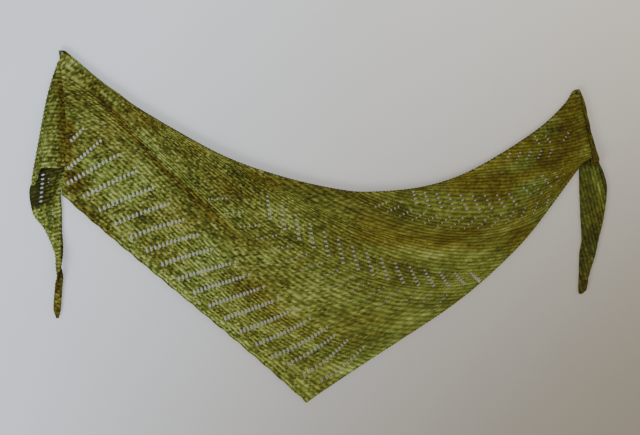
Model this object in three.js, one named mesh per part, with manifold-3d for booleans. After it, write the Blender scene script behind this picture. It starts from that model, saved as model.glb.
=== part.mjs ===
// A hand-knitted lace scarf: an asymmetric triangle that hangs from two wall pins.
// Millimetres, +Z up. The wall is the plane y = 0 and the front of the scarf faces -Y.
// The origin is the back of the left pin, where it meets the wall.
import * as THREE from "three";
import { mergeVertices } from "three/addons/utils/BufferGeometryUtils.js";
import Module from "manifold-3d";

// Cloth and knitting
const CLOTH = 2.2;
const SEAM = 0.3;
const EYELET_WIDTH = 4.3;
const EYELET_HEIGHT = 4.6;
const ROWS_PER_EYELET = 2;
const ROW_HEIGHT = 3.2;

// Length of a cutter from front to back, well past both faces of the cloth
const CUT_DEPTH = 34;

// Pins
const PIN_SPACING = 927;
const PIN_DROP = 72;
const PIN = { shank: 1.0, head: 2.6, headLength: 1.6, foot: 5, footLength: 1.5, sides: 16 };
const PIN_CROWN = { radius: 2.2, length: 1.1 };
const PIN_CLEARANCE = 0.3;

// How far the layers stand from the wall, measured to the middle of the cloth
const DEPTH = { panel: 12, atPins: 7, tip: 7, back: 4.2, valley: 8 };

// The two edges of the front panel, seen from the front as x and z
const CREASE = [
  { x: -2, z: -252 },
  { x: 4, z: -208 },
  { x: 6, z: -123 },
  { x: 1, z: -64 },
  { x: -4, z: -22 },
  { x: -7, z: 6 },
];
const TOP_EDGE = [
  { x: -7, z: 6 },
  { x: 6, z: 3 },
  { x: 26, z: -17 },
  { x: 103, z: -77 },
  { x: 206, z: -140 },
  { x: 304, z: -191 },
  { x: 405, z: -225 },
  { x: 500, z: -246 },
  { x: 558, z: -250 },
  { x: 644, z: -242 },
  { x: 718, z: -220 },
  { x: 791, z: -181 },
  { x: 862, z: -133 },
  { x: 905, z: -92 },
  { x: 919, z: -70 },
];
const LOWER_EDGE = [
  { x: 441, z: -630 },
  { x: 459, z: -616 },
  { x: 542, z: -560 },
  { x: 608, z: -517 },
  { x: 695, z: -459 },
  { x: 758, z: -409 },
  { x: 832, z: -337 },
  { x: 883, z: -271 },
  { x: 927, z: -211 },
  { x: 940, z: -196 },
  { x: 954, z: -188 },
];
const RIGHT_FOLD = [
  { x: 954, z: -188 },
  { x: 949, z: -158 },
  { x: 940, z: -110 },
  { x: 936, z: -84 },
  { x: 933, z: -65 },
];

// Knitted rows of the front panel, counted from the bind-off edge: where each one starts, two
// places that it passes and where it ends, as x and z
const ROW_LINES = [
  { row: 0, start: [-2, -252], left: [223, -442], right: [339, -539], end: [441, -630] },
  { row: 34, start: [5, -110], left: [250, -325], right: [444, -489], end: [588, -530] },
  { row: 52, start: [-2, -36], left: [380, -353], right: [545, -440], end: [700, -457] },
  { row: 57, start: [-7, 6], left: [404, -347], right: [580, -430], end: [721, -440] },
  { row: 60, start: [14, -5], left: [414, -344], right: [600, -423], end: [733, -429] },
  { row: 65, start: [52, -39], left: [455, -351], right: [640, -417], end: [757, -408] },
  { row: 75, start: [158, -111], left: [474, -324], right: [640, -389], end: [776, -391] },
  { row: 93, start: [358, -212], left: [608, -329], right: [720, -343], end: [836, -330] },
  { row: 103, start: [500, -246], left: [633, -304], right: [763, -317], end: [885, -268] },
  { row: 110, start: [540, -249], left: [657, -290], right: [783, -294], end: [905, -241] },
  { row: 121, start: [610, -247], left: [700, -257], right: [808, -255], end: [930, -208] },
  { row: 140, start: [765, -197], left: [830, -194], right: [890, -187], end: [952, -174] },
  { row: 153, start: [833, -156], left: [866, -153], right: [905, -147], end: [944, -132] },
  { row: 165, start: [885, -113], left: [904, -111], right: [922, -107], end: [939, -100] },
  { row: 176, start: [919, -70], left: [924, -66], right: [929, -65], end: [933, -65] },
];

// Stretches of the front panel: the knitted rows at which each one's surface is stepped, and its
// number of steps along a row
const BORDER_STRETCH = { columns: 20, rows: [0, 6, 12, 19, 26, 34, 39] };
const LOWER_STRETCH = { columns: 22, rows: [39, 46, 52, 57, 60, 65, 70, 75, 84, 93, 98] };
const UPPER_STRETCH = {
  columns: 14,
  rows: [98, 103, 110, 116, 121, 127, 134, 140, 147, 153, 159, 165, 171, 176],
};

// Eyelet lines: the row and place of the first eyelet of the first line, the spacing of the lines
// along the row, how many lines, which eyelets of each line are over 4 mm, whether a line climbs
// or falls from there, and how far it leans along the row for each unit that it climbs
const BORDER_LACE = [
  { row: 6, x: 10, z: -234, pitch: 36.5, lines: 16, from: 3, to: 11, climb: 1, lean: 0.5 },
  { row: 10, x: 470, z: -586, pitch: 36.5, lines: 1, from: 1, to: 7, climb: 1, lean: 0.6 },
  { row: 14, x: 10, z: -203, pitch: 36.6, lines: 1, from: 1, to: 6, climb: 1, lean: 0.5 },
  { row: 24, x: 13, z: -163, pitch: 36.6, lines: 1, from: 0, to: 2, climb: 1, lean: 0.5 },
];
const LOWER_LACE = [
  { row: 65, x: 374, z: -306, pitch: 28.9, lines: 14, from: 1, to: 3, climb: 1, lean: -0.8 },
  { row: 60, x: 304, z: -260, pitch: 30.4, lines: 15, from: 1, to: 2, climb: -1, lean: -0.8 },
];
const UPPER_LACE = [
  { row: 114, x: 638, z: -270, pitch: 22.6, lines: 12, from: 1, to: 2, climb: 1, lean: -0.5 },
  { row: 110, x: 581, z: -266, pitch: 23.2, lines: 14, from: 1, to: 1, climb: -1, lean: -1.1 },
  { row: 144, x: 806, z: -186, pitch: 19, lines: 4, from: 0, to: 1, climb: -1, lean: -0.6 },
];

// Soft drag folds of the front panel, from one end to the other. A trough has a negative height
const FOLDS = [
  { fromX: 4, fromZ: -63, toX: 92, toZ: -122, height: -2.4, width: 9 },
  { fromX: 4, fromZ: -84, toX: 110, toZ: -182, height: -2.2, width: 11 },
  { fromX: 10, fromZ: -112, toX: 150, toZ: -250, height: 2.0, width: 18 },
  { fromX: 905, fromZ: -120, toX: 800, toZ: -240, height: -2.0, width: 14 },
  { fromX: 928, fromZ: -110, toX: 890, toZ: -230, height: 2.0, width: 14 },
];

// The cloth beside the left pin, at heights below it: its left side, and how far it bulges
const LEFT_TURN = [
  { z: -14, left: -9, bulge: 0.3, turn: 1.9 },
  { z: -64, left: -25, bulge: 5, turn: 2.8 },
  { z: -105, left: -34, bulge: 9, turn: 3.6 },
  { z: -155, left: -43, bulge: 12, turn: 4.6 },
  { z: -228, left: -55, bulge: 14, turn: 5.4 },
];
const STRIP_HEM = -207;
const STRIP_SIDE_HEM = -226;
const BACK_LAP = 8;

const LEFT_TAIL_RIGHT = 2;

// Shares of a turn's section at which its small arc starts and ends
const LEFT_ARC = { start: 0.6, end: 0.85 };
const RIGHT_ARC = { start: 0.35, end: 0.85 };

// The tails below the turns, at heights below the pins: both sides, how far the middle stands out
// and how far the cloth is turned about its middle, in degrees
const LEFT_TAIL = [
  { z: -236, left: -57, right: 0, cup: 1, turn: 0 },
  { z: -250, left: -61, right: -5, cup: 3, turn: 0 },
  { z: -287, left: -55, right: -1, cup: 6, turn: 0 },
  { z: -318, left: -33, right: -1, cup: 8, turn: 0 },
  { z: -349, left: -20, right: 1, cup: 9, turn: 10 },
  { z: -375, left: -14, right: 1, cup: 9, turn: 50 },
  { z: -399, left: -12, right: 2, cup: 8, turn: 120 },
  { z: -421, left: -14, right: 0, cup: 3, turn: 170 },
  { z: -461, left: -17, right: -3, cup: 2, turn: 180 },
  { z: -478, left: -12, right: -7, cup: 1, turn: 180 },
];
const RIGHT_TURN = [
  { z: -84, side: 943, turn: 1.9 },
  { z: -137, side: 952, turn: 3.0 },
  { z: -169, side: 960, turn: 4.0 },
  { z: -190, side: 967, turn: 5.0 },
];
const RIGHT_LAP = 2;
const RIGHT_TAIL_LEFT = 930;
const RIGHT_TAIL = [
  { z: -197, left: 931, right: 969, cup: 1, turn: 0 },
  { z: -245, left: 932, right: 983, cup: 3, turn: 0 },
  { z: -297, left: 934, right: 977, cup: 4, turn: 0 },
  { z: -335, left: 936, right: 968, cup: 4, turn: 0 },
  { z: -363, left: 932, right: 962, cup: 3, turn: 0 },
  { z: -403, left: 931, right: 950, cup: 2, turn: 0 },
  { z: -426, left: 930, right: 946, cup: 1, turn: 0 },
  { z: -434, left: 932, right: 938, cup: 0.5, turn: 0 },
];
const TAIL_EYELETS = { x: -36, z: -222, stepX: -0.5, stepZ: -8, count: 6 };

const COLOURS = {
  border: 0x7f8a3c,
  body: 0x74752f,
  upper: 0x6a6426,
  fold: 0x5c561e,
  tail: 0x555a24,
  steel: 0xb9babd,
};

const wasm = await Module();
wasm.setup();

// Value of one column of a table at a place between its rows: a smooth curve that never overshoots
function tableValue(table, key, column, place) {
  const last = table.length - 1;
  const forward = table[last][key] > table[0][key] ? 1 : -1;
  let row = 0;
  while (row < last - 1 && (place - table[row + 1][key]) * forward > 0) {
    row += 1;
  }
  const slope = (i) => {
    const rise = table[i + 1][column] - table[i][column];
    return rise / (table[i + 1][key] - table[i][key]);
  };
  const tangent = (i) => {
    if (i === 0 || i === last) {
      return slope(Math.min(i, last - 1));
    }
    const before = slope(i - 1);
    const after = slope(i);
    return before * after > 0 ? (2 * before * after) / (before + after) : 0;
  };
  const span = table[row + 1][key] - table[row][key];
  const f = THREE.MathUtils.clamp((place - table[row][key]) / span, 0, 1);
  const start = table[row][column] * (1 + 2 * f) * (1 - f) ** 2;
  const end = table[row + 1][column] * f * f * (3 - 2 * f);
  const leave = tangent(row) * span * f * (1 - f) ** 2;
  const arrive = tangent(row + 1) * span * f * f * (f - 1);
  return start + end + leave + arrive;
}

// An edge of the panel: the points of each of its stretches joined by a smooth curve
function edgePath(...stretches) {
  const path = new THREE.CurvePath();
  for (const points of stretches) {
    path.add(new THREE.SplineCurve(points.map((point) => new THREE.Vector2(point.x, point.z))));
  }
  return path;
}

// The back layers behind the turns end just short of the cloth that comes round to them
const tailGap = 2 * SEAM;
const leftTail = [
  ...LEFT_TURN.map((row) => ({
    z: row.z,
    left: row.left + CLOTH / 4 + BACK_LAP + tailGap,
    right: LEFT_TAIL_RIGHT,
    cup: 0,
    turn: 0,
  })),
  ...LEFT_TAIL,
];
const rightTail = [
  ...RIGHT_TURN.map((row) => ({
    z: row.z,
    left: RIGHT_TAIL_LEFT,
    right: row.side - CLOTH / 4 - row.turn - RIGHT_LAP - tailGap,
    cup: 0,
    turn: 0,
  })),
  ...RIGHT_TAIL,
];

// Share of an edge's length at which it passes nearest to a point
function shareNear(path, x, z) {
  const samples = 800;
  let best = 0;
  let least = Infinity;
  for (let i = 0; i <= samples; i += 1) {
    const distance = path.getPoint(i / samples).distanceTo(new THREE.Vector2(x, z));
    if (distance < least) {
      least = distance;
      best = i / samples;
    }
  }
  return best;
}

const leftAndTop = edgePath(CREASE, TOP_EDGE);
const lowerAndRight = edgePath(LOWER_EDGE, RIGHT_FOLD);
const rowTable = ROW_LINES.map((line) => ({
  row: line.row,
  start: shareNear(leftAndTop, ...line.start),
  end: shareNear(lowerAndRight, ...line.end),
  leftX: line.left[0],
  leftZ: line.left[1],
  rightX: line.right[0],
  rightZ: line.right[1],
}));

// The four places that a knitted row passes, with its share of the row's length at each
function rowStations(row) {
  const value = (column) => tableValue(rowTable, "row", column, row);
  const places = [
    leftAndTop.getPoint(value("start")),
    new THREE.Vector2(value("leftX"), value("leftZ")),
    new THREE.Vector2(value("rightX"), value("rightZ")),
    lowerAndRight.getPoint(value("end")),
  ];
  const lengths = [0];
  for (let i = 1; i < places.length; i += 1) {
    lengths.push(lengths[i - 1] + places[i].distanceTo(places[i - 1]));
  }
  const total = lengths[places.length - 1];
  return { places, shares: lengths.map((length) => length / total), total };
}

// Point of the front panel, seen from the front, at a share of the way along a knitted row: the
// cubic curve through the row's four places
function rowPoint(share, row) {
  const { places, shares } = rowStations(row);
  const point = new THREE.Vector2();
  for (let i = 0; i < places.length; i += 1) {
    let weight = 1;
    for (let j = 0; j < places.length; j += 1) {
      weight *= i === j ? 1 : (share - shares[j]) / (shares[i] - shares[j]);
    }
    point.addScaledVector(places[i], weight);
  }
  return point;
}

function rowLength(row) {
  return rowStations(row).total;
}

function bell(distance, width) {
  return Math.exp(-((distance / width) ** 2));
}

// Where the crease beside the left pin runs, and how far the cloth stands out in it
function creaseX(z) {
  return tableValue(CREASE, "z", "x", z);
}

function creaseDepth(z) {
  const down = THREE.MathUtils.smoothstep(-z, 0, 120);
  return THREE.MathUtils.lerp(DEPTH.atPins, DEPTH.valley, down);
}

// A fold is a soft ridge along a line, that fades towards both ends
function foldHeight(fold, x, z) {
  const along = new THREE.Vector2(fold.toX - fold.fromX, fold.toZ - fold.fromZ);
  const reach = along.length();
  along.divideScalar(reach);
  const offset = new THREE.Vector2(x - fold.fromX, z - fold.fromZ);
  const distance = offset.dot(along) / reach;
  const aside = offset.cross(along);
  const fade = THREE.MathUtils.smoothstep(distance, -0.1, 0.2)
    * (1 - THREE.MathUtils.smoothstep(distance, 0.6, 1.1));
  return fold.height * fade * bell(aside, fold.width);
}

// How far the front panel stands from the wall: close to it at the pins and the lowest tip, out in
// between, back in the crease beside the left pin, with the drag folds
function panelDepth(x, z) {
  const fromLeftPin = Math.hypot(x, z);
  const fromRightPin = Math.hypot(x - PIN_SPACING, z + PIN_DROP);
  const fromTip = Math.hypot(x - LOWER_EDGE[0].x, z - LOWER_EDGE[0].z);
  const pins = Math.max(bell(fromLeftPin, 90), bell(fromRightPin, 60));
  let depth = DEPTH.panel;
  depth += (DEPTH.tip - DEPTH.panel) * bell(fromTip, 160);
  for (const fold of FOLDS) {
    depth += foldHeight(fold, x, z);
  }
  depth = THREE.MathUtils.lerp(depth, DEPTH.atPins, pins);
  const aside = Math.max(x - creaseX(z), 0);
  return THREE.MathUtils.lerp(depth, creaseDepth(z), bell(aside, 20));
}

function panelPoint(share, row) {
  const place = rowPoint(share, row);
  return new THREE.Vector3(place.x, -panelDepth(place.x, place.y), place.y);
}

// A closed cloth wall over a grid: each point moved half a thickness out and in, and the rim closed
function clothWall(pointAt, across, down) {
  const step = 1e-3;
  const places = [];
  const width = across + 1;
  for (const side of [0.5, -0.5]) {
    for (let j = 0; j <= down; j += 1) {
      for (let i = 0; i <= across; i += 1) {
        const u = i / across;
        const v = j / down;
        const alongU = pointAt(Math.min(u + step, 1), v).sub(pointAt(Math.max(u - step, 0), v));
        const alongV = pointAt(u, Math.min(v + step, 1)).sub(pointAt(u, Math.max(v - step, 0)));
        const normal = alongU.cross(alongV).normalize();
        places.push(pointAt(u, v).addScaledVector(normal, side * CLOTH));
      }
    }
  }
  const back = width * (down + 1);
  const at = (i, j) => j * width + i;
  const triangles = [];
  const quad = (a, b, c, d) => triangles.push(a, b, c, a, c, d);
  for (let j = 0; j < down; j += 1) {
    for (let i = 0; i < across; i += 1) {
      quad(at(i, j), at(i + 1, j), at(i + 1, j + 1), at(i, j + 1));
      quad(back + at(i, j), back + at(i, j + 1), back + at(i + 1, j + 1), back + at(i + 1, j));
    }
  }
  for (let i = 0; i < across; i += 1) {
    quad(at(i + 1, 0), at(i, 0), back + at(i, 0), back + at(i + 1, 0));
    quad(at(i, down), at(i + 1, down), back + at(i + 1, down), back + at(i, down));
  }
  for (let j = 0; j < down; j += 1) {
    quad(at(0, j), at(0, j + 1), back + at(0, j + 1), back + at(0, j));
    quad(at(across, j + 1), at(across, j), back + at(across, j), back + at(across, j + 1));
  }
  const geometry = new THREE.BufferGeometry();
  geometry.setFromPoints(places);
  geometry.setIndex(triangles);
  return geometry;
}

function toSolid(geometry) {
  const bare = geometry.clone();
  bare.deleteAttribute("normal");
  bare.deleteAttribute("uv");
  const merged = mergeVertices(bare, 1e-4);
  return new wasm.Manifold(new wasm.Mesh({
    numProp: 3,
    vertProperties: new Float32Array(merged.attributes.position.array),
    triVerts: new Uint32Array(merged.index.array),
  }));
}

function toGeometry(solid) {
  const mesh = solid.getMesh();
  const geometry = new THREE.BufferGeometry();
  geometry.setAttribute("position", new THREE.BufferAttribute(mesh.vertProperties, 3));
  geometry.setIndex(new THREE.BufferAttribute(mesh.triVerts, 1));
  return geometry;
}

function cutAll(geometry, cutters) {
  let solid = toSolid(geometry);
  for (const cutter of cutters) {
    solid = solid.subtract(toSolid(cutter));
  }
  return toGeometry(solid);
}

// A four-sided cutter through the cloth at a place seen from the front, turned with the row
function eyeletCutter(place, angle) {
  const cutter = new THREE.BoxGeometry(EYELET_WIDTH, CUT_DEPTH, EYELET_HEIGHT);
  cutter.rotateY(-angle);
  cutter.translate(place.x, -DEPTH.panel, place.y);
  return cutter;
}

// Share of the row at the end of a walk over some rows, leaning along the row as it climbs
function walkAcross(share, row, rows, lean) {
  const stride = Math.sign(rows);
  let place = share;
  for (let step = 0; step < Math.abs(rows); step += 1) {
    const here = row + step * stride;
    const along = rowPoint(place + 0.005, here).sub(rowPoint(place - 0.005, here)).normalize();
    const rise = rowPoint(place, here + stride).sub(rowPoint(place, here));
    const drift = rise.dot(along);
    const height = Math.abs(rise.cross(along));
    place += (lean * height - drift) / rowLength(here);
  }
  return place;
}

function shareAt(row, x, z) {
  const samples = 200;
  let best = 0;
  let least = Infinity;
  for (let i = 0; i <= samples; i += 1) {
    const distance = rowPoint(i / samples, row).distanceTo(new THREE.Vector2(x, z));
    if (distance < least) {
      least = distance;
      best = i / samples;
    }
  }
  return best;
}

function eyeletsOf(bands) {
  const cutters = [];
  for (const band of bands) {
    const first = shareAt(band.row, band.x, band.z);
    for (let line = 0; line < band.lines; line += 1) {
      const root = first + (line * band.pitch) / rowLength(band.row);
      for (let eyelet = band.from; eyelet <= band.to; eyelet += 1) {
        const rows = eyelet * ROWS_PER_EYELET * band.climb;
        const share = walkAcross(root, band.row, rows, band.lean);
        const row = band.row + rows;
        const along = rowPoint(share + 0.01, row).sub(rowPoint(share - 0.01, row));
        cutters.push(eyeletCutter(rowPoint(share, row), along.angle()));
      }
    }
  }
  return cutters;
}

function pinHole(x, z) {
  const radius = PIN.shank + PIN_CLEARANCE;
  const hole = new THREE.CylinderGeometry(radius, radius, CUT_DEPTH, PIN.sides);
  hole.translate(x, -DEPTH.atPins, z);
  return hole;
}

// A stretch of the front panel, stepped at its rows, half a seam short of each neighbour
function panelStretch(stretch, cutters) {
  const steps = stretch.rows.length - 1;
  const trim = SEAM / 2 / ROW_HEIGHT;
  const first = stretch.rows[0] + (stretch.rows[0] > 0 ? trim : 0);
  const last = stretch.rows[steps] - trim;
  const pointAt = (u, v) => {
    const step = Math.min(Math.floor(v * steps), steps - 1);
    const row = THREE.MathUtils.lerp(stretch.rows[step], stretch.rows[step + 1], v * steps - step);
    return panelPoint(u, THREE.MathUtils.clamp(row, first, last));
  };
  return cutAll(clothWall(pointAt, stretch.columns, steps), cutters);
}

// The forward fold beside the left pin: out of the crease, forward over a bulge, round the left
// side on a small arc and a short way back along the wall
function leftTurnPoint(u, v) {
  const side = THREE.MathUtils.smoothstep(u, LEFT_ARC.start / 2, LEFT_ARC.start);
  const hem = THREE.MathUtils.lerp(STRIP_HEM, STRIP_SIDE_HEM, side);
  const z = THREE.MathUtils.lerp(LEFT_TURN[0].z, hem, v);
  const left = tableValue(LEFT_TURN, "z", "left", z) + CLOTH / 2;
  const bulge = tableValue(LEFT_TURN, "z", "bulge", z);
  const radius = tableValue(LEFT_TURN, "z", "turn", z);
  const right = creaseX(z) - 3 * SEAM;
  const inner = left + radius;
  if (u < LEFT_ARC.start) {
    const f = u / LEFT_ARC.start;
    const flat = THREE.MathUtils.lerp(
      creaseDepth(z), DEPTH.back + 2 * radius, THREE.MathUtils.smoothstep(f, 0, 1),
    );
    const x = THREE.MathUtils.lerp(right, inner, f);
    return new THREE.Vector3(x, -(flat + bulge * Math.sin(Math.PI * f) ** 2), z);
  }
  if (u < LEFT_ARC.end) {
    const angle = (Math.PI * (u - LEFT_ARC.start)) / (LEFT_ARC.end - LEFT_ARC.start);
    const x = inner - radius * Math.sin(angle);
    return new THREE.Vector3(x, -(DEPTH.back + radius + radius * Math.cos(angle)), z);
  }
  const lap = ((u - LEFT_ARC.end) / (1 - LEFT_ARC.end)) * (BACK_LAP - radius);
  return new THREE.Vector3(inner + lap, -DEPTH.back, z);
}

// The rounded fold at the right side, from the panel's edge round to the back layer
function rightTurnPoint(u, v) {
  const z = THREE.MathUtils.lerp(RIGHT_TURN[0].z, RIGHT_FOLD[0].z + 1, v);
  const radius = tableValue(RIGHT_TURN, "z", "turn", z);
  const outer = tableValue(RIGHT_TURN, "z", "side", z) - CLOTH / 2 - radius;
  const foldX = tableValue(RIGHT_FOLD, "z", "x", z);
  if (u < RIGHT_ARC.start) {
    const f = u / RIGHT_ARC.start;
    const x = THREE.MathUtils.lerp(foldX + 2 * SEAM, outer, f);
    const depth = THREE.MathUtils.lerp(
      panelDepth(foldX, z), DEPTH.back + 2 * radius, THREE.MathUtils.smoothstep(f, 0, 1),
    );
    return new THREE.Vector3(x, -depth, z);
  }
  if (u < RIGHT_ARC.end) {
    const angle = (Math.PI * (u - RIGHT_ARC.start)) / (RIGHT_ARC.end - RIGHT_ARC.start);
    const x = outer + radius * Math.sin(angle);
    return new THREE.Vector3(x, -(DEPTH.back + radius + radius * Math.cos(angle)), z);
  }
  const lap = ((u - RIGHT_ARC.end) / (1 - RIGHT_ARC.end)) * RIGHT_LAP;
  return new THREE.Vector3(outer - lap, -DEPTH.back, z);
}

// A hanging tail: at each height a shallow arc between its two sides, turned about its middle
function tailPoint(table, u, v) {
  const stretches = table.length - 1;
  const stretch = Math.min(Math.floor(v * stretches), stretches - 1);
  const z = THREE.MathUtils.lerp(table[stretch].z, table[stretch + 1].z, v * stretches - stretch);
  const left = tableValue(table, "z", "left", z) + CLOTH / 4;
  const right = tableValue(table, "z", "right", z) - CLOTH / 4;
  const cup = tableValue(table, "z", "cup", z);
  const turn = THREE.MathUtils.degToRad(tableValue(table, "z", "turn", z));
  const half = (right - left) / 2;
  const aside = (2 * u - 1) * half;
  const out = cup * Math.cos(Math.PI * (u - 0.5));
  const x = (left + right) / 2 + aside * Math.cos(turn) - (out - cup / 2) * Math.sin(turn);
  const y = aside * Math.sin(turn) + (out - cup / 2) * Math.cos(turn);
  const lift = half * Math.abs(Math.sin(turn));
  return new THREE.Vector3(x, -(DEPTH.back + cup / 2 + lift + y), z);
}

function tail(table, cutters) {
  const steps = 2 * (table.length - 1);
  const wall = clothWall((u, v) => tailPoint(table, 1 - u, 1 - v), 6, steps);
  return cutAll(wall, cutters);
}

// A headed pin, turned about its axis: a round foot at the wall, the shank and the head
function pinGeometry(clothDepth) {
  const headBack = clothDepth + CLOTH / 2 + 3 * SEAM;
  const profile = [
    [0, -headBack - PIN.headLength],
    [PIN_CROWN.radius, -headBack - PIN_CROWN.length],
    [PIN.head, -headBack],
    [PIN.shank, -headBack],
    [PIN.shank, -PIN.footLength],
    [PIN.foot, -PIN.footLength],
    [PIN.foot, 0],
    [0, 0],
  ];
  return new THREE.LatheGeometry(profile.map(([r, y]) => new THREE.Vector2(r, y)), PIN.sides);
}

function addMesh(group, name, geometry, colour, roughness, metalness) {
  const material = new THREE.MeshStandardMaterial({ color: colour, roughness, metalness });
  const mesh = new THREE.Mesh(geometry, material);
  mesh.name = name;
  group.add(mesh);
  return mesh;
}

function tailEyelets() {
  const cutters = [];
  for (let i = 0; i < TAIL_EYELETS.count; i += 1) {
    const x = TAIL_EYELETS.x + i * TAIL_EYELETS.stepX;
    const z = TAIL_EYELETS.z + i * TAIL_EYELETS.stepZ;
    cutters.push(eyeletCutter(new THREE.Vector2(x, z), 0));
  }
  return cutters;
}

const scarf = new THREE.Group();
const clothRough = 0.9;
const borderLace = panelStretch(BORDER_STRETCH, eyeletsOf(BORDER_LACE));
const bodyLower = panelStretch(LOWER_STRETCH, [...eyeletsOf(LOWER_LACE), pinHole(0, 0)]);
const bodyUpper = panelStretch(
  UPPER_STRETCH,
  [...eyeletsOf(UPPER_LACE), pinHole(PIN_SPACING, -PIN_DROP)],
);
addMesh(scarf, "border_lace", borderLace, COLOURS.border, clothRough, 0);
addMesh(scarf, "body_lower", bodyLower, COLOURS.body, clothRough, 0);
addMesh(scarf, "body_upper", bodyUpper, COLOURS.upper, clothRough, 0);
addMesh(scarf, "left_turn", clothWall((u, v) => leftTurnPoint(1 - u, 1 - v), 20, 10),
  COLOURS.fold, clothRough, 0);
addMesh(scarf, "right_turn", clothWall((u, v) => rightTurnPoint(u, 1 - v), 12, 7),
  COLOURS.fold, clothRough, 0);
addMesh(scarf, "left_tail", tail(leftTail, tailEyelets()), COLOURS.tail, clothRough, 0);
addMesh(scarf, "right_tail", tail(rightTail, []), COLOURS.tail, clothRough, 0);
addMesh(scarf, "left_pin", pinGeometry(DEPTH.atPins), COLOURS.steel, 0.35, 1);
const rightPin = addMesh(scarf, "right_pin", pinGeometry(DEPTH.atPins), COLOURS.steel, 0.35, 1);
rightPin.position.set(PIN_SPACING, 0, -PIN_DROP);

export default scarf;
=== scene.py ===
import math

import bpy
import numpy as np
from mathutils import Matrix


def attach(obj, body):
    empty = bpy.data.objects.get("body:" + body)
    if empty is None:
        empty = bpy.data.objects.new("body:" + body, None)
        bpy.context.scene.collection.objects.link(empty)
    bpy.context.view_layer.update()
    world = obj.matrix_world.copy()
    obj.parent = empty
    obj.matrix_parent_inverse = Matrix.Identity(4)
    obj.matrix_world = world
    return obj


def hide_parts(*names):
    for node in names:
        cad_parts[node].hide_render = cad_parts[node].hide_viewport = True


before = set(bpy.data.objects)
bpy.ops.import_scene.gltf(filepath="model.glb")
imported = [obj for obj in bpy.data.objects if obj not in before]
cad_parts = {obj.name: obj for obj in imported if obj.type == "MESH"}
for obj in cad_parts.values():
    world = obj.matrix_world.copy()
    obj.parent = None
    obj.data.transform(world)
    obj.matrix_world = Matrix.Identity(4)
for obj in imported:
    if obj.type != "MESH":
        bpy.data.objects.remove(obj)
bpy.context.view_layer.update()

# Lengths are millimetres until a mesh is made. The wall is y = 0, and the front faces -Y
MM = 0.001

# Knitting: one garter ridge is two rows
STITCH = 4.0
ROW = 3.2
COLUMNS_PER_STITCH = 3
STEPS_PER_RIDGE = 5
WALL = 1.3
RIDGE_WAVE = 0.5
PURL_BUMP = 0.42
PURL_COURSES = (0.4, 0.6)
PURL_SPREAD = 0.14
UNEVEN_ROWS = 0.35
UNEVEN_STITCHES = 0.6
UNEVEN_DEPTH = 0.5

# Lace: how far apart the border's eyelet lines stand along a row, how its bands puff and lean, how
# far the bind-off edge swings out and in how many rows that fades, how far an eyelet can reach, how
# thick its rim is, and the size of a line's last eyelet to its first
LACE_PITCH = 36.5
LACE_PUFF = 0.9
LACE_LEAN = 1.6
SCALLOP = 0.8
SCALLOP_ROWS = 8
EYELET_REACH = 9.0
EYELET_RIM = 0.25
LAST_EYELET = 0.72

# Trims: radius of each cord, how its links swell, how far it lies inside the edge, the share of an
# edge that its ends leave free, points of a ring, spacing of the rings, and the samples taken of a
# row and of an edge
BIND_OFF_RADIUS = 1.35
SELVEDGE_RADIUS = 1.25
LINK_SWELL = 0.3
SELVEDGE_INSET = 0.6
FREE_END = 0.002
RING_POINTS = 8
RING_SPACING = 1.3
ROW_SAMPLES = 801
EDGE_SAMPLES = 900

# How far the layers stand from the wall, to the middle of the cloth, where the pins are, how thick
# the CAD cloth is, its seams, and how far behind the panel a turned strip starts
DEPTH = {"panel": 12.0, "at_pins": 7.0, "tip": 7.0, "back": 4.2, "valley": 8.0}
PIN_SPACING = 927.0
PIN_DROP = 72.0
CAD_CLOTH = 2.2
SEAM = 0.3
STRIP_BEHIND = 1.8

# Columns and rows of points of the turns and tails
GRIDS = {"left_turn": (68, 156), "right_turn": (30, 104), "left_tail": (44, 372),
         "right_tail": (40, 282)}


def table(columns, *rows):
    """Named columns of a short table, each as an array."""
    return dict(zip(columns.split(), np.array(rows, float).T))


def each_row(rows, columns=""):
    """The rows of a table one after the other, with all of its columns or the named ones."""
    return zip(*(rows[column] for column in columns.split() or rows))


# The two edges of the front panel and its fold lines, seen from the front
CREASE = table("x z", (-2, -252), (4, -208), (6, -123), (1, -64), (-4, -22), (-7, 6))
TOP_EDGE = table(
    "x z",
    (-7, 6), (6, 3), (26, -17), (103, -77), (206, -140), (304, -191), (405, -225),
    (500, -246), (558, -250), (644, -242), (718, -220), (791, -181), (862, -133),
    (905, -92), (919, -70),
)
LOWER_EDGE = table(
    "x z",
    (441, -630), (459, -616), (542, -560), (608, -517), (695, -459), (758, -409),
    (832, -337), (883, -271), (927, -211), (940, -196), (954, -188),
)
RIGHT_FOLD = table("x z", (954, -188), (949, -158), (940, -110), (936, -84), (933, -65))

# Knitted rows of the panel, counted from the bind-off edge: where each starts, two places that
# it passes and where it ends
ROW_LINES = table(
    "row start_x start_z left_x left_z right_x right_z end_x end_z",
    (0, -2, -252, 223, -442, 339, -539, 441, -630),
    (34, 5, -110, 250, -325, 444, -489, 588, -530),
    (52, -2, -36, 380, -353, 545, -440, 700, -457),
    (57, -7, 6, 404, -347, 580, -430, 721, -440),
    (60, 14, -5, 414, -344, 600, -423, 733, -429),
    (65, 52, -39, 455, -351, 640, -417, 757, -408),
    (75, 158, -111, 474, -324, 640, -389, 776, -391),
    (93, 358, -212, 608, -329, 720, -343, 836, -330),
    (103, 500, -246, 633, -304, 763, -317, 888, -264),
    (110, 540, -249, 657, -290, 783, -293, 909, -235),
    (121, 610, -247, 700, -252, 822, -248, 935, -201),
    (140, 765, -197, 830, -194, 890, -187, 952, -174),
    (153, 833, -156, 866, -153, 905, -147, 944, -132),
    (165, 885, -113, 904, -111, 922, -107, 939, -100),
    (176, 919, -70, 924, -66, 929, -65, 933, -65),
)

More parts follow.
